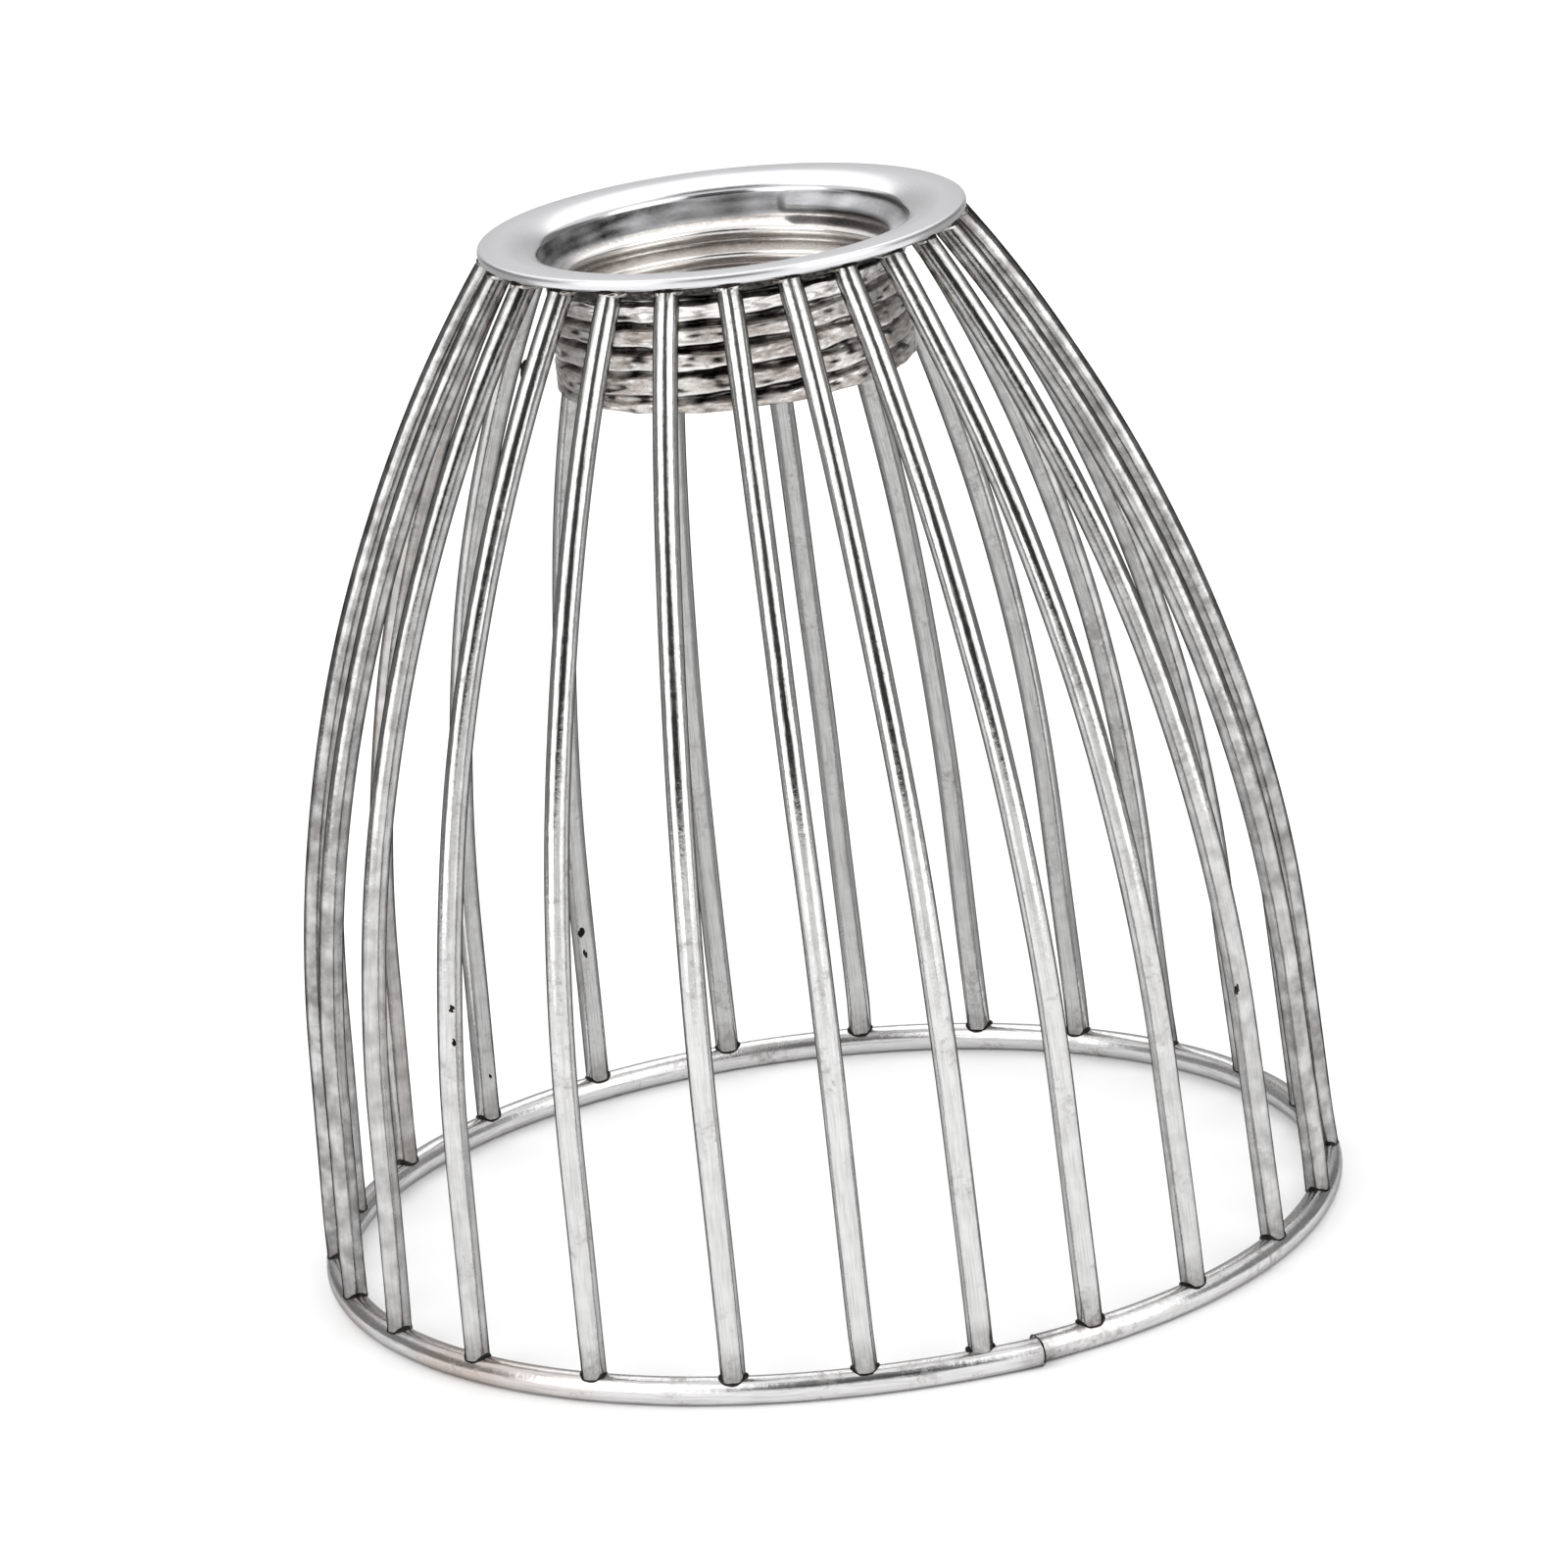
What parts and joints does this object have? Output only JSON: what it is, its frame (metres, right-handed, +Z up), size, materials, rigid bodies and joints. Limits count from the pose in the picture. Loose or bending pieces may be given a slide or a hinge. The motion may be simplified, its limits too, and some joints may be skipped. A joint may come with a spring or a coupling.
{
  "type": "bulb cage guard",
  "caption": "Bell-shaped basket of bent bright wires on a wire ring, with a flanged threaded collar that screws onto a lampholder and shields its bulb.",
  "frame": {"origin": "on the surface that the base ring stands on, under the collar's axis", "axes": "+Z up along the collar's axis, from the open mouth to the collar; -Y is the side seen in the picture"},
  "size_m": [0.085, 0.0851, 0.0854],
  "materials": {
    "collar": "satin plated pressed steel with a rolled thread",
    "ring_wire": "bright plated steel wire, butt welded",
    "guard_wire": "bright plated steel wire, bent and welded"
  },
  "bodies": {
    "root": {"threaded_collar": "collar", "base_ring": "ring_wire", "guard_wire_01": "guard_wire", "guard_wire_02": "guard_wire", "guard_wire_03": "guard_wire", "guard_wire_04": "guard_wire", "guard_wire_05": "guard_wire", "guard_wire_06": "guard_wire", "guard_wire_07": "guard_wire", "guard_wire_08": "guard_wire", "guard_wire_09": "guard_wire", "guard_wire_10": "guard_wire", "guard_wire_11": "guard_wire", "guard_wire_12": "guard_wire", "guard_wire_13": "guard_wire", "guard_wire_14": "guard_wire", "guard_wire_15": "guard_wire", "guard_wire_16": "guard_wire", "guard_wire_17": "guard_wire", "guard_wire_18": "guard_wire", "guard_wire_19": "guard_wire", "guard_wire_20": "guard_wire", "guard_wire_21": "guard_wire", "guard_wire_22": "guard_wire", "guard_wire_23": "guard_wire", "guard_wire_24": "guard_wire"}
  },
  "joints": []
}
